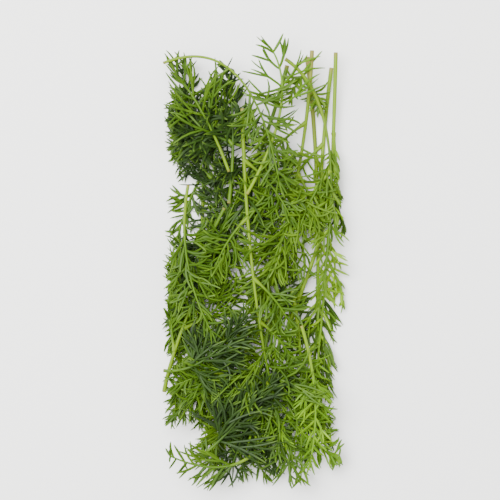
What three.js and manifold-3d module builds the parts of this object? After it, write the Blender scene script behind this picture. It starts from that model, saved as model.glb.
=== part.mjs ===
// A loose bunch of cut dill, heaped flat as it is packed: feathery leaves on long stalks, and a few
// leafy shoots. Each sprig is one solid: its stalk, its midribs, and the needle-like leaf segments.
// Millimetres, +Z up. The origin is on the surface that the bunch lies on, under its middle.
// +Y runs along the bunch, and +X across it.
import * as THREE from "three";
import { mergeVertices } from "three/addons/utils/BufferGeometryUtils.js";
import Module from "manifold-3d";

const wasm = await Module();
wasm.setup();

// The heap: sprigs lie in layers, so each lies on the ones below and is clear of them.
const heap = {
  halfWidth: 42,
  halfLength: 103,
  firstLayer: 1, // height of the lowest layer's middle
  layerPitch: 2.45, // from one layer's middle to the next
  sideSag: 0.45, // how much closer the layers lie at the long sides
  endSag: 0.25, // how much closer they lie at the two ends
  wave: 1.1, // height of the gentle waves in the layers
  waveX: 13,
  waveY: 19,
  wavyFrom: 4, // the layers below this one are flatter, down to the surface
};
const restDepth = 0.12; // the lowest stalks are pressed flat by this much where they lie

// The sprigs, from the surface upwards. route: the cut end, the point that the stalk bends towards,
// and the tip. blade: where the leafy part starts, as a share of the route, then the length of its
// longest side ribs and how many pairs it has. sides: leaves of a shoot, each with its share of the
// route, its turn in degrees (positive to the left), its length, longest side rib and pairs.
const sprigs = [
  {
    name: "sprig_01", layer: 0, tone: "mid", stalk: 2.1, route: [[23, 92], [32, 20], [24, -84]],
    blade: [0.62, 20, 5], sides: [[0.3, 28, 34, 10, 4]],
  },
  {
    name: "sprig_02", layer: 0, tone: "mid", stalk: 2.2, route: [[-18, 84], [-30, 10], [-20, -82]],
    blade: [0.6, 20, 5], sides: [[0.28, -26, 32, 10, 4]],
  },
  {
    name: "sprig_03", layer: 1, tone: "deep", stalk: 1.8, route: [[8, -48], [-14, 14], [-33, 84]],
    blade: [0.5, 18, 5], sides: [],
  },
  {
    name: "sprig_04", layer: 1, tone: "bright", stalk: 1.9, route: [[33.8, 87], [24, 10], [30, -72]],
    blade: [0.55, 18, 5], sides: [],
  },
  {
    name: "sprig_05", layer: 1, tone: "mid", stalk: 1.8, route: [[-34, 0], [-22, -40], [-6, -90]],
    blade: [0.35, 21, 5], sides: [],
  },
  {
    name: "sprig_06", layer: 2, tone: "deep", stalk: 2.0, route: [[14, 88], [2, 40], [-22, 2]],
    blade: [0.35, 23, 5], sides: [],
  },
  {
    name: "sprig_07", layer: 2, tone: "mid", stalk: 2.0, route: [[34, 30], [16, -40], [-20, -88]],
    blade: [0.5, 21, 5], sides: [],
  },
  {
    name: "sprig_08", layer: 3, tone: "bright", stalk: 1.9, route: [[35.6, 93.5], [34.5, 20], [26, -60]],
    blade: [0.42, 13, 5], sides: [],
  },
  {
    name: "sprig_09", layer: 3, tone: "mid", stalk: 2.0, route: [[-41, -58], [-37, -34], [-6, 34]],
    blade: [0.5, 21, 5], sides: [],
  },
  {
    name: "sprig_10", layer: 3, tone: "deep", stalk: 1.7, route: [[6, -26], [2, -58], [-12, -94]],
    blade: [0.25, 18, 5], sides: [],
  },
  {
    name: "sprig_11", layer: 4, tone: "mid", stalk: 1.9, route: [[24.9, 94], [22, 30], [2, -14]],
    blade: [0.5, 22, 5], sides: [],
  },
  {
    name: "sprig_12", layer: 4, tone: "deep", stalk: 1.6, route: [[-2, 50], [-20, 56], [-37, 65]],
    blade: [0.3, 15, 5], sides: [],
  },
  {
    name: "sprig_13", layer: 4, tone: "bright", stalk: 1.7, route: [[16, -12], [22, -40], [20, -96]],
    blade: [0.4, 16, 5], sides: [],
  },
  {
    name: "sprig_14", layer: 4, tone: "deep", stalk: 1.6, route: [[-14, 24], [-26, 0], [-37, -24]],
    blade: [0.3, 15, 5], sides: [],
  },
  {
    name: "sprig_15", layer: 5, tone: "mid", stalk: 1.7, route: [[12.9, 90], [44, 70], [28, -20]],
    blade: [0.5, 13, 5], sides: [],
  },
  {
    name: "sprig_16", layer: 5, tone: "mid", stalk: 1.6, route: [[-4, -40], [-18, -52], [-36, -68]],
    blade: [0.25, 15, 5], sides: [],
  },
  {
    name: "sprig_17", layer: 5, tone: "deep", stalk: 1.7, route: [[-12, 26], [-8, 60], [-13, 86]],
    blade: [0.35, 14, 5], sides: [],
  },
  {
    name: "sprig_18", layer: 5, tone: "bright", stalk: 1.6, route: [[4, -52], [20, -82], [37, -86]],
    blade: [0.25, 15, 5], sides: [],
  },
  {
    name: "sprig_19", layer: 6, tone: "mid", stalk: 1.8, route: [[-6, 68], [-4, -30], [16, -88]],
    blade: [0.6, 23, 5], sides: [],
  },
  {
    name: "sprig_20", layer: 6, tone: "mid", stalk: 1.5, route: [[-12, 40], [-22, 68], [-38, 87]],
    blade: [0.3, 17, 5], sides: [],
  },
  {
    name: "sprig_21", layer: 6, tone: "mid", stalk: 1.5, route: [[0, -84], [-14, -96.4], [-38, -86]],
    blade: [0.3, 13, 4], sides: [],
  },
  {
    name: "sprig_22", layer: 7, tone: "bright", stalk: 1.6, route: [[-4, 30], [20, 72], [7, 94]],
    blade: [0.5, 20, 4], sides: [],
  },
  {
    name: "sprig_23", layer: 7, tone: "deep", stalk: 1.5, route: [[-41, -48], [-24, -50], [-8, -28]],
    blade: [0.3, 18, 5], sides: [],
  },
  {
    name: "sprig_24", layer: 7, tone: "deep", stalk: 1.5, route: [[-22, -84], [-12, -76], [6, -54]],
    blade: [0.2, 18, 5], sides: [],
  },
  {
    name: "sprig_25", layer: 8, tone: "mid", stalk: 1.3, route: [[-41, 88], [-2, 103], [10, 36]],
    blade: [0.6, 16, 4], sides: [],
  },
  {
    name: "sprig_26", layer: 8, tone: "bright", stalk: 1.5, route: [[20, -28], [30, -60], [24, -88]],
    blade: [0.35, 15, 5], sides: [],
  },
  {
    name: "sprig_27", layer: 8, tone: "mid", stalk: 1.5, route: [[-30, 34], [-36, 0], [-20, -30]],
    blade: [0.3, 14, 5], sides: [],
  },
];

// The leaf: side ribs in pairs along a midrib. Each is a thin flat blade, cut into three segments.
const leaf = {
  midribTip: 0.36, // radius at the leaf's tip
  stagger: 0.03, // how far a right rib stands beyond the left one, as a share of the leaf
  turnAtBase: 52, // degrees between midrib and side rib, low on the leaf
  turnAtTip: 30,
  turnSpread: 6,
  shorterAtTip: 0.5, // how much shorter the last pair of ribs is than the first
  lift: 0.28, // how far a rib's tip may stand above or below its layer, as a share of its pitch
  footWidth: 0.6, // of a side rib, where it leaves the midrib
  width: 1.25, // of a segment at its widest
  thickness: 0.6,
  forks: [0.34, 0.5], // where a side rib forks, first outwards and then inwards
  forksFrom: [8.5, 13], // ribs shorter than these have no first or no second fork
  forkTurn: 30,
  forkLength: 0.48, // of the side rib's length
  firstRib: 0.04, // where the first and the last pair stand, as shares of the leaf
  lastRib: 0.92,
  lengthSpread: [0.82, 1.1], // of a side rib, by its neighbours
  lowestDip: 0.2, // the lift of the lowest ribs, which only dip
  levelBy: 1.5, // a side rib reaches its own height at 1 / 1.5 of its length
};

// The number of sides and of steps along a stalk, and what all side leaves of the shoots share.
const stem = { sides: 5, steps: 8 };
const sideLeaf = { radius: 0.7, bladeFrom: 0.3, straightened: 0.4, sides: 4, steps: 4 };

const toneColours = { deep: 0x47692f, mid: 0x5d8033, bright: 0x7d9f35 };

// A repeatable draw of numbers, the same for a given seed.
function drawFrom(seed) {
  let state = seed;
  return (low, high) => {
    state = (state * 48271) % 2147483647;
    return low + ((high - low) * state) / 2147483647;
  };
}

function headingOf(degrees) {
  const angle = THREE.MathUtils.degToRad(degrees);
  return new THREE.Vector2(Math.cos(angle), Math.sin(angle));
}

// The distance from layer to layer at a point in plan: the heap is thinner towards its edges.
function layerPitch(x, y) {
  const across = (x / heap.halfWidth) ** 2;
  const along = (y / heap.halfLength) ** 2;
  return heap.layerPitch - heap.sideSag * across - heap.endSag * along;
}

// The height of a layer's middle at a point in plan.
function layerHeight(layer, x, y) {
  const wavy = Math.min(1, layer / heap.wavyFrom);
  const wave = Math.sin(x / heap.waveX) * Math.cos(y / heap.waveY);
  return heap.firstLayer + layer * layerPitch(x, y) + wavy * heap.wave * wave;
}

function solidFrom(geometry) {
  geometry.deleteAttribute("normal");
  geometry.deleteAttribute("uv");
  const merged = mergeVertices(geometry, 1e-4);
  return new wasm.Manifold(
    new wasm.Mesh({
      numProp: 3,
      vertProperties: merged.attributes.position.array,
      triVerts: new Uint32Array(merged.index.array),
    }),
  );
}

// Lays a unit shape that stands along Y, from -0.5 to 0.5, along a line. The line gives a place and a
// direction in plan for each share of its length, and radiusAt gives the size there.
function layAlong(geometry, placeAt, radiusAt) {
  const corners = geometry.getAttribute("position");
  const up = new THREE.Vector3(0, 0, 1);
  for (let i = 0; i < corners.count; i += 1) {
    const share = corners.getY(i) + 0.5;
    const { point, heading } = placeAt(share);
    const right = new THREE.Vector3(heading.y, -heading.x, 0);
    const size = radiusAt(share);
    const corner = point
      .clone()
      .addScaledVector(right, corners.getX(i) * size.wide)
      .addScaledVector(up, corners.getZ(i) * size.high);
    corners.setXYZ(i, corner.x, corner.y, corner.z);
  }
  return solidFrom(geometry);
}

// A stalk with its midrib: a tapering tube along a curve in plan, lying in its layer.
function stalk(curve, layer, radiusAtCut, { sides, steps }) {
  const radiusAt = (share) => leaf.midribTip + (radiusAtCut - leaf.midribTip) * (1 - share);
  const underside = sides % 2 === 1 ? Math.cos(Math.PI / sides) : 1; // its depth, in radii
  const placeAt = (share) => {
    const at = curve.getPoint(share);
    const resting = radiusAt(share) * underside - restDepth;
    const height = layer === 0 ? resting : layerHeight(layer, at.x, at.y);
    return { point: new THREE.Vector3(at.x, at.y, height), heading: curve.getTangent(share) };
  };
  const tube = new THREE.CylinderGeometry(1, 1, 1, sides, steps);
  const sizeAt = (share) => ({ wide: radiusAt(share), high: radiusAt(share) });
  return { solid: layAlong(tube, placeAt, sizeAt), placeAt };
}

// The outline of a side rib of that length, lying along X, with its forks: the first to the side
// given, 1 for left and -1 for right, and the second to the other.
function ribOutline(length, side) {
  const forkAngle = THREE.MathUtils.degToRad(leaf.forkTurn);
  const reach = new THREE.Vector2(Math.cos(forkAngle), Math.sin(forkAngle));
  reach.multiplyScalar(length * leaf.forkLength);
  const foot = leaf.width / 2 / Math.sin(forkAngle);
  const halfWidth = (at) => (leaf.width / 2) * (1 - at / length);
  const edge = (share, hand) => {
    const at = share * length;
    return [
      new THREE.Vector2(at - foot, hand * halfWidth(at - foot)),
      new THREE.Vector2(at + reach.x, hand * (halfWidth(at) + reach.y)),
      new THREE.Vector2(at + foot, hand * halfWidth(at + foot)),
    ];
  };
  const forkOn = (hand) => {
    const fork = hand === side ? 0 : 1;
    return length < leaf.forksFrom[fork] ? [] : edge(leaf.forks[fork], hand);
  };
  return [
    new THREE.Vector2(0, -leaf.footWidth / 2),
    ...forkOn(-1),
    new THREE.Vector2(length, 0),
    ...forkOn(1).reverse(),
    new THREE.Vector2(0, leaf.footWidth / 2),
  ];
}

// A side rib from its root, which is sunk in the midrib. It rises or dips by lift towards its tip.
function ribBlade(root, heading, length, side, heightAt) {
  const blade = new THREE.ExtrudeGeometry(new THREE.Shape(ribOutline(length, side)), {
    depth: leaf.thickness,
    bevelEnabled: false,
  });
  const ahead = headingOf(heading);
  const left = new THREE.Vector2(-ahead.y, ahead.x);
  const corners = blade.getAttribute("position");
  for (let i = 0; i < corners.count; i += 1) {
    const x = root.x + ahead.x * corners.getX(i) + left.x * corners.getY(i);
    const y = root.y + ahead.y * corners.getX(i) + left.y * corners.getY(i);
    const share = corners.getX(i) / length;
    const height = THREE.MathUtils.lerp(root.z, heightAt(x, y), Math.min(1, share * leaf.levelBy));
    corners.setXYZ(i, x, y, height + corners.getZ(i) - leaf.thickness / 2);
  }
  return solidFrom(blade);
}

// The side ribs of one leaf.
function leafRibs(midrib, layer, from, longest, pairs, draw) {
  const ribs = [];
  for (let pair = 0; pair < pairs; pair += 1) {
    const along = pair / (pairs - 1);
    for (const side of [1, -1]) {
      const place = THREE.MathUtils.lerp(leaf.firstRib, leaf.lastRib, along);
      const share = from + (1 - from) * (place + (side === 1 ? 0 : leaf.stagger));
      const { point, heading } = midrib(share);
      const ahead = THREE.MathUtils.radToDeg(Math.atan2(heading.y, heading.x));
      const turn = THREE.MathUtils.lerp(leaf.turnAtBase, leaf.turnAtTip, along);
      const out = ahead + side * (turn + draw(-leaf.turnSpread, leaf.turnSpread));
      const length = longest * (1 - leaf.shorterAtTip * along) * draw(...leaf.lengthSpread);
      const lift = layer === 0 ? draw(-leaf.lowestDip, 0) : draw(-leaf.lift, leaf.lift);
      const heightAt = (x, y) => layerHeight(layer, x, y) + lift * layerPitch(x, y);
      ribs.push(ribBlade(point, out, length, side, heightAt));
    }
  }
  return ribs;
}

// One sprig: the stalk with the leaf at its end, and a shoot's side leaves.
function sprigSolid(sprig, number) {
  const points = sprig.route.map(([x, y]) => new THREE.Vector2(x, y));
  const main = new THREE.QuadraticBezierCurve(...points);
  const own = stalk(main, sprig.layer, sprig.stalk / 2, stem);
  const draw = drawFrom(7919 * (number + 1));
  const parts = [own.solid, ...leafRibs(own.placeAt, sprig.layer, ...sprig.blade, draw)];
  for (const [share, turn, length, longest, pairs] of sprig.sides) {
    const start = main.getPoint(share);
    const ahead = THREE.MathUtils.radToDeg(main.getTangent(share).angle());
    const bend = headingOf(ahead + turn).multiplyScalar(length / 2).add(start);
    const end = headingOf(ahead + turn * sideLeaf.straightened).multiplyScalar(length / 2).add(bend);
    const curve = new THREE.QuadraticBezierCurve(start, bend, end);
    const branch = stalk(curve, sprig.layer, sideLeaf.radius, sideLeaf);
    const blade = [sideLeaf.bladeFrom, longest, pairs];
    parts.push(branch.solid, ...leafRibs(branch.placeAt, sprig.layer, ...blade, draw));
  }
  const whole = wasm.Manifold.union(parts);
  return sprig.layer === 0 ? whole.trimByPlane([0, 0, 1], 0) : whole;
}

function meshOf(solid) {
  const { numProp, vertProperties, triVerts } = solid.getMesh();
  const places = vertProperties.filter((_, i) => i % numProp < 3);
  const geometry = new THREE.BufferGeometry();
  geometry.setAttribute("position", new THREE.BufferAttribute(new Float32Array(places), 3));
  geometry.setIndex(new THREE.BufferAttribute(triVerts, 1));
  geometry.computeVertexNormals();
  return geometry;
}

const bunch = new THREE.Group();
sprigs.forEach((sprig, number) => {
  const material = new THREE.MeshStandardMaterial({
    color: toneColours[sprig.tone],
    roughness: 0.55,
    metalness: 0,
  });
  const mesh = new THREE.Mesh(meshOf(sprigSolid(sprig, number)), material);
  mesh.name = sprig.name;
  bunch.add(mesh);
});

export default bunch;
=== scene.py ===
# A loose bunch of cut dill, lying on a pale table: feathery leaves on long ribbed stalks.
import math

import bpy
import numpy as np
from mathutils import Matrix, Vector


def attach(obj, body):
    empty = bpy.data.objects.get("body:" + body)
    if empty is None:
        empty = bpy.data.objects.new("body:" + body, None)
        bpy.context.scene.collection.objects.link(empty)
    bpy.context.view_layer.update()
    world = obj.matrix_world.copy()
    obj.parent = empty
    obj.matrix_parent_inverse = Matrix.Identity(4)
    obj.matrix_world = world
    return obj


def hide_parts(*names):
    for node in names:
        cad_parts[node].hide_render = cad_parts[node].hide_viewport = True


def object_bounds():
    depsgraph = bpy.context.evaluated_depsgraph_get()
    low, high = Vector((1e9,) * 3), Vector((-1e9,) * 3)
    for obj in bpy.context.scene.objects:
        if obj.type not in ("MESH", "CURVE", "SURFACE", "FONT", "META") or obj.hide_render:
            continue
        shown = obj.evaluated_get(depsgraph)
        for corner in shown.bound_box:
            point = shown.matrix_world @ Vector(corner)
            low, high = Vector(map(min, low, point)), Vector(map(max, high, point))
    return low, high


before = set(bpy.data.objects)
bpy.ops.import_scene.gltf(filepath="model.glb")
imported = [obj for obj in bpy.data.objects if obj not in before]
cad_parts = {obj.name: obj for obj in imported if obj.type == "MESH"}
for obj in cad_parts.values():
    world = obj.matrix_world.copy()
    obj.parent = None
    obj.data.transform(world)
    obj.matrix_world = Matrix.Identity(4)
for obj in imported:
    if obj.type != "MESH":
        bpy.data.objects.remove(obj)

# Sizes in the settings are millimetres and angles are degrees, unless a note says otherwise. The
# meshes are in metres.
mm = 0.001
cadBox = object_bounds()
heapTop = cadBox[1].z / mm
bpy.ops.object.select_all(action="DESELECT")


# the heap that the sprigs lie in, layer on layer, as in the solids
heap = {
    "halfWidth": 42,
    "halfLength": 103,
    "firstLayer": 1,  # height of the lowest layer's middle
    "layerPitch": 2.45,
    "sideSag": 0.45,  # the layers lie closer at the long sides
    "endSag": 0.25,  # and at the two ends
    "wave": 1.1,  # how far a layer waves up and down
    "waveX": 13,  # length per radian of the wave, across the heap and along it
    "waveY": 19,
    "wavyFrom": 4,  # the first layer that waves in full
    "restDepth": 0.12,  # how far the lowest stalks are pressed flat
    "rise": 2.2,  # how far a leaf may rise out of its layer, or dip below it
    "riseOver": 16,  # length per radian of that
    "phase": 2.4,  # in radians, from one sprig's rise to the next
    "phaseAcross": 1.7,  # times that, across the heap
    # the heap's outline: along it, and there its left and right side
    "outline": [(-102, -24, 24), (-96, -34, 33), (-88, -41, 39), (-76, -42, 43), (-64, -43, 38),
                (-30, -43, 38), (-10, -43, 43), (10, -43, 43), (24, -43, 41), (70, -43, 39),
                (92, -42, 37), (102, -30, 20)],
    # its far end: across it, and where it ends there
    "farEnd": [(-42, 93), (-34, 95), (-24, 92), (-10, 92), (-3, 96), (2, 102), (12, 102), (17, 95),
               (42, 95)],
    "notch": 0.7,  # half the depth of the notches along its sides
    "notchOver": 3.1,  # length per radian of them
    "edgeGap": (0, 3.8),  # threads stay so far inside it
    "tries": 7,  # how often a thread that would cross it is turned along it and shortened
    "turnBy": 0.2,  # each time by this share of the turn that is left
    "cutTo": 0.9,  # and to this share of its length
    "lowest": 0.5,  # height of the lowest threads
    "topGap": 0.4,  # from the highest threads to the heap's top
}

# The sprigs from the table upwards. route: cut end, bend, tip. blade: where the leafy part starts, as
# a share of the route, its longest side rib and its pairs of main ribs. sides: leaves on its sides,
# each with its share of the route, turn, length, longest rib and pairs. The solids have only the first
# of these on the first two sprigs. shade: how much darker than its tone it is, or lighter where it is
# below 0. dryEnd: the share of its stalk that the cut has dried, where that isn't the usual one.
sprigs = [
    {"layer": 0, "tone": "mid", "stalk": 2.1, "habit": "feathery", "dryEnd": 0.3,
     "route": [(23, 92), (32, 20), (24, -84)], "blade": (0.62, 20, 5),
     "sides": [(0.3, 28, 34, 10, 4)]},
    {"layer": 0, "tone": "mid", "stalk": 2.2, "habit": "feathery",
     "route": [(-18, 84), (-30, 10), (-20, -82)], "blade": (0.6, 20, 5),
     "sides": [(0.28, -26, 32, 10, 4), (0.03, -62, 26, 10, 4), (0.1, -40, 26, 13, 4),
               (0.46, -38, 26, 13, 4), (0.62, -50, 26, 13, 4), (0.78, -46, 26, 13, 4)]},
    {"layer": 1, "tone": "deep", "stalk": 1.8, "habit": "bushy",
     "route": [(8, -48), (-14, 14), (-33, 84)], "blade": (0.5, 18, 5),
     "sides": [(0.1, -48, 38, 13, 4), (0.3, 46, 26, 12, 4), (0.66, 30, 30, 11, 4)]},
    {"layer": 1, "tone": "bright", "stalk": 1.9, "habit": "sparse", "shade": -0.1,
     "route": [(33.8, 87), (24, 10), (30, -72)], "blade": (0.55, 18, 5),
     "sides": [(0.22, -44, 32, 12, 4), (0.42, -52, 30, 12, 4), (0.5, 34, 30, 11, 4)]},
    {"layer": 1, "tone": "mid", "stalk": 1.8, "habit": "feathery",
     "route": [(-34, 0), (-22, -40), (-6, -90)], "blade": (0.35, 21, 5),
     "sides": [(0.12, -50, 16, 11, 4), (0.6, 40, 30, 12, 4), (0.62, 14, 46, 13, 4)]},
    {"layer": 2, "tone": "deep", "stalk": 2.0, "habit": "bushy",
     "route": [(14, 88), (2, 40), (-22, 2)], "blade": (0.35, 23, 5), "sides": []},
    {"layer": 2, "tone": "mid", "stalk": 2.0, "habit": "feathery", "shade": -0.1,
     "route": [(34, 30), (16, -40), (-20, -88)], "blade": (0.5, 21, 5),
     "sides": [(0.12, -46, 34, 13, 4), (0.34, -44, 28, 12, 4)]},
    {"layer": 3, "tone": "bright", "stalk": 1.9, "habit": "sparse", "shade": -0.15,
     "route": [(35.6, 93.5), (34.5, 20), (26, -60)], "blade": (0.42, 13, 5),
     "sides": [(0.24, 8, 24, 8, 4), (0.34, -40, 26, 11, 4)]},
    {"layer": 3, "tone": "mid", "stalk": 2.0, "habit": "feathery",
     "route": [(-41, -58), (-37, -34), (-6, 34)], "blade": (0.5, 21, 5),
     "sides": [(0.3, 30, 24, 10, 4), (0.42, -46, 34, 13, 4)]},
    {"layer": 3, "tone": "deep", "stalk": 1.7, "habit": "bushy",
     "route": [(6, -26), (2, -58), (-12, -94)], "blade": (0.25, 18, 5),
     "sides": [(0.5, 42, 34, 12, 4)]},
    {"layer": 4, "tone": "mid", "stalk": 1.9, "habit": "feathery", "shade": -0.12, "dryEnd": 0.2,
     "route": [(24.9, 94), (22, 30), (2, -14)], "blade": (0.5, 22, 5),
     "sides": [(0.06, -46, 16, 8, 4), (0.12, 40, 12, 7, 4), (0.26, -50, 34, 13, 4),
               (0.46, 44, 28, 12, 4)]},
    {"layer": 4, "tone": "deep", "stalk": 1.6, "habit": "curly",
     "route": [(-2, 50), (-20, 56), (-37, 65)], "blade": (0.3, 15, 5), "sides": []},
    {"layer": 4, "tone": "bright", "stalk": 1.7, "habit": "sparse", "shade": 0.05,
     "route": [(16, -12), (22, -40), (20, -96)], "blade": (0.4, 16, 5), "sides": []},
    {"layer": 4, "tone": "deep", "stalk": 1.6, "habit": "bushy",
     "route": [(-14, 24), (-26, 0), (-37, -24)], "blade": (0.3, 15, 5), "sides": []},
    {"layer": 5, "tone": "mid", "stalk": 1.7, "habit": "feathery", "shade": -0.2,
     "route": [(12.9, 90), (44, 70), (28, -20)], "blade": (0.5, 13, 5),
     "sides": [(0.6, -42, 34, 12, 4)]},
    {"layer": 5, "tone": "mid", "stalk": 1.6, "habit": "feathery",
     "route": [(-4, -40), (-18, -52), (-36, -68)], "blade": (0.25, 15, 5),
     "sides": [(0.35, -36, 24, 11, 4)]},
    {"layer": 5, "tone": "deep", "stalk": 1.7, "habit": "curly",
     "route": [(-12, 26), (-8, 60), (-13, 86)], "blade": (0.35, 14, 5),
     "sides": [(0.4, 40, 26, 9, 4)]},
    {"layer": 5, "tone": "bright", "stalk": 1.6, "habit": "feathery", "shade": 0.05,
     "route": [(4, -52), (20, -82), (37, -86)], "blade": (0.25, 15, 5), "sides": []},
    {"layer": 6, "tone": "mid", "stalk": 1.8, "habit": "feathery",
     "route": [(-6, 68), (-4, -30), (16, -88)], "blade": (0.6, 23, 5),
     "sides": [(0.12, 52, 34, 13, 4), (0.26, -50, 32, 13, 4), (0.42, 44, 30, 12, 4),
               (0.54, 46, 22, 10, 4)]},
    {"layer": 6, "tone": "mid", "stalk": 1.5, "habit": "long",
     "route": [(-12, 40), (-22, 68), (-38, 87)], "blade": (0.3, 17, 5), "sides": []},
    {"layer": 6, "tone": "mid", "stalk": 1.5, "habit": "long",
     "route": [(0, -84), (-14, -96.4), (-38, -86)], "blade": (0.3, 13, 4), "sides": []},
    {"layer": 7, "tone": "bright", "stalk": 1.6, "habit": "open", "shade": 0.2,
     "route": [(-4, 30), (20, 72), (7, 94)], "blade": (0.5, 20, 4), "sides": []},
    {"layer": 7, "tone": "deep", "stalk": 1.5, "habit": "feathery",
     "route": [(-41, -48), (-24, -50), (-8, -28)], "blade": (0.3, 18, 5), "sides": []},
    {"layer": 7, "tone": "deep", "stalk": 1.5, "habit": "feathery",
     "route": [(-22, -84), (-12, -76), (6, -54)], "blade": (0.2, 18, 5), "sides": []},
    {"layer": 8, "tone": "mid", "stalk": 1.3, "habit": "feathery",
     "route": [(-41, 88), (-2, 103), (10, 36)], "blade": (0.6, 16, 4), "sides": []},
    {"layer": 8, "tone": "bright", "stalk": 1.5, "habit": "sparse",
     "route": [(20, -28), (30, -60), (24, -88)], "blade": (0.35, 15, 5), "sides": []},
    {"layer": 8, "tone": "mid", "stalk": 1.5, "habit": "feathery",
     "route": [(-30, 34), (-36, 0), (-20, -30)], "blade": (0.3, 14, 5), "sides": []},
]

toneLevel = {"deep": 0.2, "mid": 0.5, "bright": 0.8}
lehmer = {"factor": 48271, "modulus": 2147483647}  # the repeatable draws, as in the solids
seeds = {"ribs": (7919, 7919), "threads": (104729, 7907)}  # the first sprig's, and the step to the next

# a leaf: where its main ribs stand, as in the solids, and what grows between them
leaf = {
    "midribTip": 0.36,  # its radius at the tip
    "firstRib": 0.04,  # these three are shares of the leafy part
    "lastRib": 0.92,
    "stagger": 0.03,  # how much further on a pair's right rib stands
    "turnAtBase": 52,  # of the ribs, from the midrib
    "turnAtTip": 30,
    "turnSpread": (-6, 6),
    "shorterAtTip": 0.5,
    "lengthSpread": (0.82, 1.1),
    "lift": (-0.28, 0.28),  # how far a rib's tip rises, in layers
    "lowLift": (-0.2, 0),  # and in the lowest layer
    "ribPitch": (-24, 26),
    "toneSpread": (-0.12, 0.12),
    "lastSmallRib": 0.985,
    "smallTurn": (-9, 9),  # the smaller ribs against the main one before them
    "smallLength": (0.7, 0.95),
    "smallLift": (-0.5, 0.5),
    "fan": (-26, 2, 24),  # the leaf ends in three threads, turned so
    "fanLength": 0.45,  # of the longest rib
    "fanPitch": (-10, 14),
    "fanWidth": 1,
    "fanCurl": 20,
}

# a leaf on the side of another's stalk
sideLeaf = {
    "radius": 0.7,
    "bare": 0.2,  # the share of it that is as pale as the stalk
    "bladeFrom": 0.3,
    "straightened": 0.4,  # its end keeps this share of its turn
    "sheath": 0.7,  # how much thicker its foot is, where it clasps the stalk
    "sheathLength": 0.16,
}

# How each kind of leaf branches. between: smaller ribs after each main one. spacing: from one pair of
# branches to the next on a rib. branch: their length, by what is left of the rib. angle: from the rib.
# forking: the share of them that fork once more. pitch: how far they rise or dip. width: a thread's.
# reach: a rib's length, in the solids' own. sway: how far it turns off its place. curl: how far a
# thread turns on its way.
habits = {
    "open": {"between": 0, "spacing": 8.5, "branch": 1.15, "angle": 20, "forking": 0.2, "pitch": 10,
             "width": 1.1, "reach": 1.15, "sway": 8, "curl": 40},
    "sparse": {"between": 1, "spacing": 7.5, "branch": 1.0, "angle": 24, "forking": 0.15, "pitch": 12,
               "width": 1.1, "reach": 1.05, "sway": 10, "curl": 45},
    "feathery": {"between": 2, "spacing": 5.6, "branch": 1.1, "angle": 28, "forking": 0.35,
                 "pitch": 24, "width": 1.1, "reach": 1.3, "sway": 26, "curl": 70},
    "long": {"between": 1, "spacing": 6.5, "branch": 1.2, "angle": 22, "forking": 0.2, "pitch": 16,
             "width": 1.1, "reach": 1.4, "sway": 16, "curl": 50},
    "curly": {"between": 3, "spacing": 4.4, "branch": 1.2, "angle": 40, "forking": 0.5, "pitch": 34,
              "width": 1.2, "reach": 1.25, "sway": 34, "curl": 130},
    "bushy": {"between": 2, "spacing": 4.8, "branch": 1.0, "angle": 36, "forking": 0.45,
              "pitch": 32, "width": 1.05, "reach": 1.3, "sway": 34, "curl": 95},
}

# how every rib branches, whatever the leaf's habit
branching = {
    "firstPair": (0.6, 0.9),  # in spacings from the rib's foot
    "spacingSpread": (0.85, 1.15),
    "placeSpread": (-0.05, 0.05),  # a share of the rib
    "last": 0.97,
    "ownTip": 5.5,  # a rib ends with at least this much of its own tip
    "angleSpread": (-8, 8),
    "lengthSpread": (0.8, 1.2),
    "pitchKept": 0.4,  # a branch keeps this share of its rib's pitch
    "slimmest": 0.6,  # share of the full width that the shortest branches have
    "widthOver": 22,  # and how much longer ones reach it
    "forkFrom": 7.7,  # shorter branches don't fork
    "forkAt": (0.28, 0.46),
    "forkTurn": (21, 35),
    "forkLean": (-14, 14),
    "forkLength": (0.576, 0.828),  # of the branch
    "forkWidth": 0.94,
}

# one thread-like leaf segment: rings gives each ring's place along it and its width there
thread = {
    "rings": [(0, 0.66), (0.14, 0.9), (0.4, 1.0), (0.67, 0.9), (0.87, 0.62), (0.965, 0.32)],
    "thickness": 0.46,  # of its width
    "shoulder": 0.24,  # these two are in widths: where its upper face is highest
    "groove": 0.16,  # and the depth of the channel along that face
    "tipRing": 0.5,  # its last ring against the one before it, and merged into the tip
    "ribWidth": 1.15,  # a rib's width, in threads
    "dip": (-12, 12),
    "roll": (-50, 50),
    "toneSpread": (-0.07, 0.07),
}

# the stalk: round, with fine ribs along it
stalk = {
    "ribs": 8,
    "ribDepth": 0.1,  # of the radius
    "steps": 44,
    "chamfer": 0.82,  # the cut end's face, of the radius
    "chamferLength": 0.0012,  # of the stalk's length
    "tipFace": 0.4,  # the far end's face, of the radius
    "greenBefore": 0.12,  # the skin turns leaf-green from so far before the leafy part
    "greenOver": 0.2,
    "dryEnd": 0.02,  # the share of it that the cut has dried, unless the sprig has its own
}


def drawFrom(seed):  # a repeatable draw of numbers
    state = seed

    def draw(low, high):
        nonlocal state
        state = state * lehmer["factor"] % lehmer["modulus"]
        return low + (high - low) * state / lehmer["modulus"]

    return draw


def layerPitch(x, y):
    across = (x / heap["halfWidth"]) ** 2
    along = (y / heap["halfLength"]) ** 2
    return heap["layerPitch"] - heap["sideSag"] * across - heap["endSag"] * along


def layerHeight(layer, x, y):
    wavy = min(1, layer / heap["wavyFrom"])
    wave = math.sin(x / heap["waveX"]) * math.cos(y / heap["waveY"])
    return heap["firstLayer"] + layer * layerPitch(x, y) + wavy * heap["wave"] * wave


def aim(heading, pitch=0):  # a direction, from its heading in plan and its pitch
    h, p = math.radians(heading), math.radians(pitch)
    return np.array([math.cos(h) * math.cos(p), math.sin(h) * math.cos(p), math.sin(p)])


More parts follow.
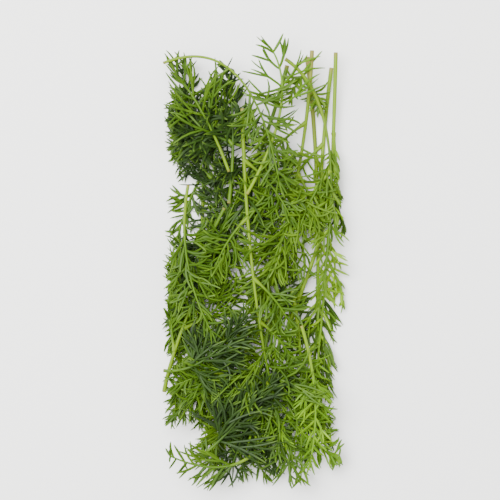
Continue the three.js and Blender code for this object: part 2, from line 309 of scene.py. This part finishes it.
def alongCurve(points, share):
    a, b, c = points
    return (1 - share) ** 2 * a + 2 * (1 - share) * share * b + share**2 * c


def wayAlong(points, share):
    a, b, c = points
    return (1 - share) * (b - a) + share * (c - b)


def headingAlong(points, share):
    way = wayAlong(points, share)
    return math.degrees(math.atan2(way[1], way[0]))


# Pattern pieces, modelled once. Each stands along Z from 0 to 1, and is 1 across.

half = 0.5


def startRing(name, sides):
    bpy.ops.object.select_all(action="DESELECT")
    bpy.ops.mesh.primitive_circle_add(vertices=sides, radius=half, fill_type="NGON")
    made = bpy.context.object
    made.name = name
    return made


def editAll():
    bpy.ops.object.mode_set(mode="EDIT")
    bpy.ops.mesh.select_all(action="SELECT")


def growRing(rise, scale):
    bpy.ops.mesh.extrude_region_move(TRANSFORM_OT_translate={"value": (0, 0, rise)})
    bpy.ops.transform.resize(value=(scale, scale, 1))


def finishPattern(made):
    bpy.ops.mesh.select_all(action="SELECT")
    bpy.ops.mesh.normals_make_consistent(inside=False)
    bpy.ops.object.mode_set(mode="OBJECT")
    mesh = made.data
    # Extrude can number what it makes differently each time, so corners and faces are put in order.
    corners = sorted(mesh.vertices, key=lambda corner: (corner.co.z, corner.co.y, corner.co.x))
    numbers = {corner.index: number for number, corner in enumerate(corners)}
    faces = [[numbers[index] for index in face.vertices] for face in mesh.polygons]
    faces.sort(key=sorted)
    pattern = {
        "corners": np.array([corner.co for corner in corners]),
        "loops": np.array([number for around in faces for number in around]),
        "sizes": np.array([len(around) for around in faces]),
    }
    bpy.data.objects.remove(made)
    bpy.data.meshes.remove(mesh)
    return pattern


def modelThread():
    channel = half - thread["groove"] / thread["thickness"]
    shoulder = thread["shoulder"]
    # its cross-section: two edges, two shoulders above, the channel between them and the keel
    section = [(half, 0), (shoulder, half), (0, channel), (-shoulder, half), (-half, 0), (0, -half)]
    made = startRing("threadPattern", len(section))
    for corner, (across, up) in zip(made.data.vertices, section):
        corner.co = (across, up * thread["thickness"], 0)
    editAll()
    first = thread["rings"][0][1]
    bpy.ops.transform.resize(value=(first, first, 1))
    for (low, before), (high, after) in zip(thread["rings"], thread["rings"][1:]):
        growRing(high - low, after / before)
    growRing(1 - thread["rings"][-1][0], thread["tipRing"])
    bpy.ops.mesh.merge(type="CENTER")
    return finishPattern(made)


def modelStalk():
    made = startRing("stalkPattern", stalk["ribs"] * 2)
    for corner in list(made.data.vertices)[1::2]:
        corner.co *= 1 - stalk["ribDepth"]
    editAll()
    bpy.ops.transform.resize(value=(stalk["chamfer"], stalk["chamfer"], 1))
    growRing(stalk["chamferLength"], 1 / stalk["chamfer"])
    for step in range(stalk["steps"]):
        growRing((1 - 2 * stalk["chamferLength"]) / stalk["steps"], 1)
    growRing(stalk["chamferLength"], stalk["tipFace"])
    return finishPattern(made)


threadPattern = modelThread()
stalkPattern = modelStalk()
print("patterns:", len(threadPattern["sizes"]), "faces a thread,", len(stalkPattern["sizes"]), "a stalk")


# Growing a sprig. growth holds what it is and what it has so far: its stalks, and its threads, each
# with three points of a curve, a width, a roll and a tone.


def roomAround(point, gap):  # the lowest and highest corner of the room for a thread from here
    rows, left, right = zip(*heap["outline"])
    farEnd = np.interp(point[0], *zip(*heap["farEnd"]))
    inset = gap + heap["notch"] * (1 + math.sin(point[1] / heap["notchOver"]))
    leftSide, rightSide = [np.interp(point[1], rows, side) for side in (left, right)]
    low = np.array([leftSide + inset, rows[0] + gap, heap["lowest"]])
    high = np.array([rightSide - inset, farEnd - gap, heapTop - heap["topGap"]])
    return low, high


def growThread(growth, root, heading, pitch, length, width, curl, tone):
    draw = growth["draw"]
    turn, dip = draw(-curl, curl), draw(*thread["dip"])
    low, high = roomAround(root, draw(*heap["edgeGap"]))
    for attempt in range(heap["tries"]):
        bend = root + aim(heading, pitch) * length / 2
        tip = bend + aim(heading + turn, pitch + dip) * length / 2
        outside = (tip < low) | (tip > high)
        if not outside[:2].any():
            break
        edgeHeading = 0 if outside[1] else 90  # along an end, or along a side
        length *= heap["cutTo"]
        heading += heap["turnBy"] * math.remainder(edgeHeading - heading, 180)
        turn *= 1 - heap["turnBy"]
    points = [root, np.clip(bend, low, high), np.clip(tip, low, high)]
    roll, tone = draw(*thread["roll"]), tone + draw(*thread["toneSpread"])
    growth["threads"].append({"points": points, "width": width, "roll": roll, "tone": tone})
    return points


def growBranch(growth, rib, side, at, length, pitch, tone):  # from a rib, and some fork once more
    draw, habit = growth["draw"], growth["habit"]
    curl = habit["curl"]
    share = min(branching["last"], at / length + draw(*branching["placeSpread"]))
    heading = headingAlong(rib, share) + side * (habit["angle"] + draw(*branching["angleSpread"]))
    reach = (length - at) * habit["branch"] * draw(*branching["lengthSpread"])
    lean = pitch * branching["pitchKept"] + draw(-habit["pitch"], habit["pitch"])
    width = habit["width"] * min(1, branching["slimmest"] + reach / branching["widthOver"])
    branch = growThread(growth, alongCurve(rib, share), heading, lean, reach, width, curl, tone)
    if draw(0, 1) < habit["forking"] and reach > branching["forkFrom"]:
        share = draw(*branching["forkAt"])
        heading = headingAlong(branch, share) - side * draw(*branching["forkTurn"])
        lean += draw(*branching["forkLean"])
        reach *= draw(*branching["forkLength"])
        width *= branching["forkWidth"]
        growThread(growth, alongCurve(branch, share), heading, lean, reach, width, curl, tone)


def growRib(growth, root, heading, pitch, length, tone):
    draw, habit = growth["draw"], growth["habit"]
    length *= habit["reach"]
    heading += draw(-habit["sway"], habit["sway"])
    width = habit["width"] * thread["ribWidth"]
    rib = growThread(growth, root, heading, pitch, length, width, habit["curl"], tone)
    at = habit["spacing"] * draw(*branching["firstPair"])
    while at < length - branching["ownTip"]:
        for side in (1, -1):
            growBranch(growth, rib, side, at, length, pitch, tone)
        at += habit["spacing"] * draw(*branching["spacingSpread"])


def mainRibs(growth, first, longest, pairs):  # drawn as the solids' ribs are
    draw = growth["ribDraw"]
    lift = leaf["lift"] if growth["layer"] else leaf["lowLift"]
    ribs = []
    for pair in range(pairs):
        along = pair / (pairs - 1)
        place = leaf["firstRib"] + (leaf["lastRib"] - leaf["firstRib"]) * along
        turn = leaf["turnAtBase"] + (leaf["turnAtTip"] - leaf["turnAtBase"]) * along
        for side in (1, -1):
            ribs.append({
                "share": first + (1 - first) * (place + (0 if side == 1 else leaf["stagger"])),
                "turn": side * (turn + draw(*leaf["turnSpread"])),
                "length": longest * (1 - leaf["shorterAtTip"] * along) * draw(*leaf["lengthSpread"]),
                "lift": draw(*lift),
            })
    return ribs


def smallRibs(growth, ribs, first, pairs):  # between the main ones, so none after the last pair
    draw, between = growth["draw"], growth["habit"]["between"]
    step = (1 - first) * (leaf["lastRib"] - leaf["firstRib"]) / (pairs - 1) / (between + 1)
    small = []
    for rib in ribs[:-2]:
        for number in range(between):
            small.append({
                "share": min(leaf["lastSmallRib"], rib["share"] + step * (number + 1)),
                "turn": rib["turn"] + draw(*leaf["smallTurn"]),
                "length": rib["length"] * draw(*leaf["smallLength"]),
                "lift": draw(*leaf["smallLift"]),
            })
    return small


def growLeaf(growth, curve, centreAt, first, longest, pairs):
    draw = growth["draw"]
    ribs = mainRibs(growth, first, longest, pairs)
    for rib in ribs + smallRibs(growth, ribs, first, pairs):
        root = centreAt(rib["share"])
        rise = rib["lift"] * layerPitch(root[0], root[1])
        pitch = math.degrees(math.atan2(rise, rib["length"])) + draw(*leaf["ribPitch"])
        heading = headingAlong(curve, rib["share"]) + rib["turn"]
        growRib(growth, root, heading, pitch, rib["length"], growth["tone"] + draw(*leaf["toneSpread"]))
    for turn in leaf["fan"]:
        heading, pitch = headingAlong(curve, 1) + turn, draw(*leaf["fanPitch"])
        growThread(growth, centreAt(1), heading, pitch, longest * leaf["fanLength"], leaf["fanWidth"],
                   leaf["fanCurl"], growth["tone"])


def growStalk(growth, curve, cutRadius, bare, dryEnd=0, sheath=0):
    def radiusAt(share):
        clasp = 1 + sheath * max(0, 1 - share / sideLeaf["sheathLength"])
        return (leaf["midribTip"] + (cutRadius - leaf["midribTip"]) * (1 - share)) * clasp

    def centreAt(share):
        at, radius = alongCurve(curve, share), radiusAt(share)
        if growth["layer"] == 0:
            at[2] = radius - heap["restDepth"]
            return at
        phase, over = growth["phase"], heap["riseOver"]
        swell = math.sin(at[1] / over + phase) * math.sin(at[0] / over + phase * heap["phaseAcross"])
        height = layerHeight(growth["layer"], at[0], at[1]) + heap["rise"] * swell
        at[2] = min(max(height, radius), heapTop - radius)
        return at

    growth["stalks"].append({"centre": centreAt, "radius": radiusAt, "bare": bare, "dryEnd": dryEnd})
    return centreAt


def sideCurve(route, share, turn, length):  # leaves its stalk at an angle and bends back along it
    start, ahead = alongCurve(route, share), headingAlong(route, share)
    bend = start + aim(ahead + turn) * length / 2
    return [start, bend, bend + aim(ahead + turn * sideLeaf["straightened"]) * length / 2]


def growSprig(number, sprig):
    ribDraw, draw = [drawFrom(first + step * number) for first, step in seeds.values()]
    growth = {"layer": sprig["layer"], "phase": number * heap["phase"], "habit": habits[sprig["habit"]],
              "tone": toneLevel[sprig["tone"]] - sprig.get("shade", 0), "ribDraw": ribDraw, "draw": draw,
              "stalks": [], "threads": []}
    route = [np.array([x, y, 0.0]) for x, y in sprig["route"]]
    dryEnd = sprig.get("dryEnd", stalk["dryEnd"])
    centreAt = growStalk(growth, route, sprig["stalk"] / 2, sprig["blade"][0], dryEnd=dryEnd)
    growLeaf(growth, route, centreAt, *sprig["blade"])
    for share, turn, length, longest, pairs in sprig["sides"]:
        curve = sideCurve(route, share, turn, length)
        centreAt = growStalk(growth, curve, sideLeaf["radius"], sideLeaf["bare"], sheath=sideLeaf["sheath"])
        growLeaf(growth, curve, centreAt, sideLeaf["bladeFrom"], longest, pairs)
    return growth


# Meshes: copies of a pattern, each bent along its own curve.


def layCopies(pattern, centres, ways, widths, rolls):
    # centres and ways: copies × corners × 3. widths: copies × corners
    way = ways / np.linalg.norm(ways, axis=2, keepdims=True)
    side = np.cross([0, 0, 1.0], way)
    side /= np.linalg.norm(side, axis=2, keepdims=True)
    up = np.cross(way, side)
    turn = np.radians(rolls)[:, None, None]
    across = side * np.cos(turn) - up * np.sin(turn)
    above = up * np.cos(turn) + side * np.sin(turn)
    x, y = [(pattern["corners"][:, axis] * widths)[..., None] for axis in (0, 1)]
    return centres + across * x + above * y


def layThreads(threads):
    share = threadPattern["corners"][:, 2][None, :, None]
    points = np.array([t["points"] for t in threads])
    points = [points[:, k][:, None, :] for k in range(3)]
    widths = np.array([t["width"] for t in threads])[:, None] * np.ones(share.shape[1])
    rolls = np.array([t["roll"] for t in threads])
    return layCopies(threadPattern, alongCurve(points, share), wayAlong(points, share), widths, rolls)


def layStalk(stem):
    # one level for each ring of the pattern: rounding takes up what its corners differ by
    levels, back = np.unique(stalkPattern["corners"][:, 2].round(5), return_inverse=True)
    line = np.array([stem["centre"](level) for level in levels])
    ways = np.gradient(line, levels, axis=0)[back][None]
    widths = np.array([2 * stem["radius"](level) for level in levels])[back][None]
    return layCopies(stalkPattern, line[back][None], ways, widths, np.array([0.0]))


def markCorners(pattern, tones, bare=0, dryEnd=0):
    # tone: the green's level. along: from foot to tip. across: from its middle line. leafy: how far a
    # stalk's skin has turned leaf-green. dry: 1 at a cut end
    copies, along = len(tones), pattern["corners"][:, 2]
    leafy = (along - bare + stalk["greenBefore"]) / stalk["greenOver"]
    dry = 1 - along / dryEnd if dryEnd else along * 0
    return {
        "tone": np.repeat(tones, len(along)),
        "along": np.tile(along, copies),
        "across": np.tile(np.hypot(pattern["corners"][:, 0], pattern["corners"][:, 1]), copies),
        "leafy": np.tile(np.clip(leafy, 0, 1), copies),
        "dry": np.tile(np.clip(dry, 0, 1), copies),
    }


def joinMesh(name, parts):
    mesh = bpy.data.meshes.new(name)
    loops, sizes, slots = [], [], []
    count = 0
    for part in parts:
        pattern = part["pattern"]
        copies, each = part["corners"].shape[:2]
        starts = count + each * np.arange(copies)
        loops.append((pattern["loops"][None] + starts[:, None]).ravel())
        sizes.append(np.tile(pattern["sizes"], copies))
        slots.append(np.full(copies * len(pattern["sizes"]), part["slot"]))
        count += copies * each
    corners = np.concatenate([part["corners"].reshape(-1, 3) for part in parts]) * mm
    loops, sizes, slots = [np.concatenate(values).astype(np.int32) for values in (loops, sizes, slots)]
    mesh.vertices.add(len(corners))
    mesh.vertices.foreach_set("co", corners.astype(np.float32).ravel())
    mesh.loops.add(len(loops))
    mesh.loops.foreach_set("vertex_index", loops)
    mesh.polygons.add(len(sizes))
    mesh.polygons.foreach_set("loop_start", (np.cumsum(sizes) - sizes).astype(np.int32))
    mesh.polygons.foreach_set("material_index", slots)
    mesh.polygons.foreach_set("use_smooth", np.ones(len(sizes), bool))
    mesh.update(calc_edges=True)
    for mark in parts[0]["marks"]:
        values = np.concatenate([part["marks"][mark] for part in parts])
        attribute = mesh.attributes.new(mark, "FLOAT", "POINT")
        attribute.data.foreach_set("value", values.astype(np.float32))
    mesh.validate()
    return mesh


def makeSprig(number, sprig):  # slot 0 is the stalk's material, and slot 1 the leaf's
    growth = growSprig(number, sprig)
    threads = growth["threads"]
    marks = markCorners(threadPattern, np.array([t["tone"] for t in threads]))
    parts = [{"pattern": threadPattern, "corners": layThreads(threads), "slot": 1, "marks": marks}]
    for stem in growth["stalks"]:
        marks = markCorners(stalkPattern, np.array([toneLevel[sprig["tone"]]]), stem["bare"], stem["dryEnd"])
        parts.append({"pattern": stalkPattern, "corners": layStalk(stem), "slot": 0, "marks": marks})
    low, high = [np.array(corner) / mm for corner in cadBox]  # nothing leaves the solids' box
    for part in parts:
        part["corners"] = np.clip(part["corners"], low, high)
    node = f"sprig_{number + 1:02d}"
    piece = bpy.data.objects.new("dill_" + node, joinMesh("dill_" + node, parts))
    bpy.context.collection.objects.link(piece)
    piece.data.materials.append(finishes["stalk"])
    piece.data.materials.append(finishes[sprig["tone"]])
    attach(piece, "root")
    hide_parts(node)
    return len(threads)


# Materials.


def srgb(code):  # "#rrggbb" to the linear colour that the shader wants
    parts = [int(code[i:i + 2], 16) / 255 for i in (1, 3, 5)]
    return [p / 12.92 if p <= 0.04045 else ((p + 0.055) / 1.055) ** 2.4 for p in parts] + [1]


def setInputs(tree, node, inputs):  # each is given a value, or another node's output
    for name, value in inputs.items():
        if isinstance(value, bpy.types.NodeSocket):
            tree.links.new(value, node.inputs[name])
        else:
            node.inputs[name].default_value = value


def addNode(tree, kind, inputs, **settings):
    node = tree.nodes.new(kind)
    for name, setting in settings.items():
        setattr(node, name, setting)
    setInputs(tree, node, inputs)
    return node


def startMaterial(name):
    material = bpy.data.materials.new(name)
    material.use_nodes = True
    tree = material.node_tree
    return material, tree, tree.nodes["Principled BSDF"]


def setStops(ramp, stops):
    for place, code in stops[1:-1]:
        ramp.elements.new(place)
    for element, (place, code) in zip(ramp.elements, stops):
        element.position = place
        element.color = srgb(code)


# A Mix node's sockets for colours, by number because their names repeat.
factorIn, firstIn, secondIn, mixedOut = 0, 6, 7, 2

leafFinish = {
    "deep": [(0.0, "#132504"), (0.35, "#263d0b"), (1.0, "#4d6626")],
    "mid": [(0.1, "#1e3502"), (0.5, "#355102"), (0.9, "#527006")],
    "bright": [(0.4, "#304f02"), (0.8, "#507404"), (1.0, "#74980f")],
    "tip": "#6f9422",
    "tipFrom": 0.7,  # from here on a thread pales towards its tip
    "tipPaler": 0.35,
    "roughness": 0.5,
    "ior": 1.5,
    "shine": 0.18,  # how strongly its surface mirrors
    "patch": 5,  # patches of darker and lighter green
    "patchSpread": 0.5,  # in levels of tone
    "detail": 2,  # of both noises
    "grain": 0.5,  # its cells are far finer, and are drawn this coarse to show
    "grainDepth": 0.05,
    "grainStrength": 0.25,
}


def makeLeafMaterial(tone):
    # Fresh dill leaf: thin, soft and slightly waxy, so it shines only faintly.
    material, tree, shader = startMaterial("freshDillLeaf_" + tone)
    place = addNode(tree, "ShaderNodeTexCoord", {}).outputs["Object"]
    level, along = [addNode(tree, "ShaderNodeAttribute", {}, attribute_name=mark).outputs["Fac"]
                    for mark in ("tone", "along")]
    patches = addNode(tree, "ShaderNodeTexNoise",
                      {"Vector": place, "Scale": 1 / (leafFinish["patch"] * mm),
                       "Detail": leafFinish["detail"]})
    spread = leafFinish["patchSpread"]
    shift = addNode(tree, "ShaderNodeMath", {0: patches.outputs["Fac"], 1: spread, 2: -spread / 2},
                    operation="MULTIPLY_ADD")
    shifted = addNode(tree, "ShaderNodeMath", {0: level, 1: shift.outputs[0]}, operation="ADD")
    green = addNode(tree, "ShaderNodeValToRGB", {"Fac": shifted.outputs[0]})
    setStops(green.color_ramp, leafFinish[tone])
    tips = addNode(tree, "ShaderNodeMapRange", {"Value": along, "From Min": leafFinish["tipFrom"],
                                                "To Max": leafFinish["tipPaler"]})
    colour = addNode(tree, "ShaderNodeMix",
                     {factorIn: tips.outputs[0], firstIn: green.outputs["Color"],
                      secondIn: srgb(leafFinish["tip"])}, data_type="RGBA")
    grain = addNode(tree, "ShaderNodeTexNoise",
                    {"Vector": place, "Scale": 1 / (leafFinish["grain"] * mm),
                     "Detail": leafFinish["detail"]})
    bump = addNode(tree, "ShaderNodeBump", {"Height": grain.outputs["Fac"],
                                            "Strength": leafFinish["grainStrength"],
                                            "Distance": leafFinish["grainDepth"] * mm})
    setInputs(tree, shader, {"Base Color": colour.outputs[mixedOut], "Normal": bump.outputs["Normal"],
                             "Roughness": leafFinish["roughness"], "IOR": leafFinish["ior"],
                             "Specular IOR Level": leafFinish["shine"]})
    return material


stalkFinish = {
    "skin": [(0.2, "#3d5c08"), (0.5, "#5c7806"), (0.8, "#64820a")],
    "leafy": [(0.2, "#2f4810"), (0.5, "#42600a"), (0.8, "#597d0e")],
    "rib": "#a9bf55",
    "ribPaler": 0.08,  # how far the ribs take on that colour
    "dry": "#7d6f3c",
    "dryness": 0.8,  # and the cut end its own
    "roughness": 0.45,
    "ior": 1.5,
    "shine": 0.15,
}


def makeStalkMaterial():
    # Fresh dill stalk: smooth and juicy, yellow-green, with pale ribs and a dry cut end. Where the
    # leaf starts it turns as green as the leaf.
    material, tree, shader = startMaterial("freshDillStalk")
    tone, across, leafy, dry = [addNode(tree, "ShaderNodeAttribute", {}, attribute_name=mark).outputs["Fac"]
                                for mark in ("tone", "across", "leafy", "dry")]
    skin = addNode(tree, "ShaderNodeValToRGB", {"Fac": tone})
    setStops(skin.color_ramp, stalkFinish["skin"])
    leafSkin = addNode(tree, "ShaderNodeValToRGB", {"Fac": tone})
    setStops(leafSkin.color_ramp, stalkFinish["leafy"])
    ribs = addNode(tree, "ShaderNodeMapRange", {"Value": across, "From Min": half * (1 - stalk["ribDepth"]),
                                                "From Max": half, "To Max": stalkFinish["ribPaler"]})
    dried = addNode(tree, "ShaderNodeMath", {0: dry, 1: stalkFinish["dryness"]}, operation="MULTIPLY")
    colour = skin.outputs["Color"]
    for factor, other in ((ribs.outputs[0], srgb(stalkFinish["rib"])),
                          (leafy, leafSkin.outputs["Color"]),
                          (dried.outputs[0], srgb(stalkFinish["dry"]))):
        mix = addNode(tree, "ShaderNodeMix", {factorIn: factor, firstIn: colour, secondIn: other},
                      data_type="RGBA")
        colour = mix.outputs[mixedOut]
    setInputs(tree, shader, {"Base Color": colour, "Roughness": stalkFinish["roughness"],
                             "IOR": stalkFinish["ior"], "Specular IOR Level": stalkFinish["shine"]})
    return material


# The table, light and camera.

studio = {
    "lookAt": (-2.67, 5.34),  # the middle of the view
    "across": 222.35,  # the width that the view takes in, half-way up the heap
    "height": 1000,  # of the camera, over the heap's middle
    "sensor": 36,
    "table": 3000,
    "tableColour": "#f6f6f4",
    "tableRoughness": 0.9,
    "softBox": 900,
    "softBoxPlace": (-350, 300, 1100),
    "softBoxWatts": 45,
    "worldColour": "#ffffff",
    "worldStrength": 1.3,
}


def layTable():
    bpy.ops.mesh.primitive_plane_add(size=studio["table"] * mm, location=(0, 0, 0))
    table = bpy.context.object
    table.name = "table"
    # Matt painted board: it shows soft shadows and no shine.
    material, tree, shader = startMaterial("paleMattBoard")
    setInputs(tree, shader, {"Base Color": srgb(studio["tableColour"]),
                             "Roughness": studio["tableRoughness"]})
    table.data.materials.append(material)


def hangLight():
    bpy.ops.object.light_add(type="AREA", location=[v * mm for v in studio["softBoxPlace"]])
    light = bpy.context.object
    light.data.size = studio["softBox"] * mm
    light.data.energy = studio["softBoxWatts"]
    light.rotation_euler = (-light.location).to_track_quat("-Z", "Y").to_euler()
    world = bpy.data.worlds.new("softRoom")
    world.use_nodes = True
    setInputs(world.node_tree, world.node_tree.nodes["Background"],
              {"Color": srgb(studio["worldColour"]), "Strength": studio["worldStrength"]})
    bpy.context.scene.world = world


def placeCamera():
    x, y = studio["lookAt"]
    above = studio["height"] + heapTop / 2
    bpy.ops.object.camera_add(location=(x * mm, y * mm, above * mm), rotation=(0, 0, 0))
    camera = bpy.context.object
    camera.data.sensor_width = studio["sensor"]
    camera.data.lens = studio["sensor"] * studio["height"] / studio["across"]
    bpy.context.scene.camera = camera


finishes = {tone: makeLeafMaterial(tone) for tone in toneLevel}
finishes["stalk"] = makeStalkMaterial()
print("materials:", len(finishes))
total = sum(makeSprig(number, sprig) for number, sprig in enumerate(sprigs))
print("sprigs:", len(sprigs), "with", total, "threads")
layTable()
hangLight()
placeCamera()
print("studio: table, soft box and camera")
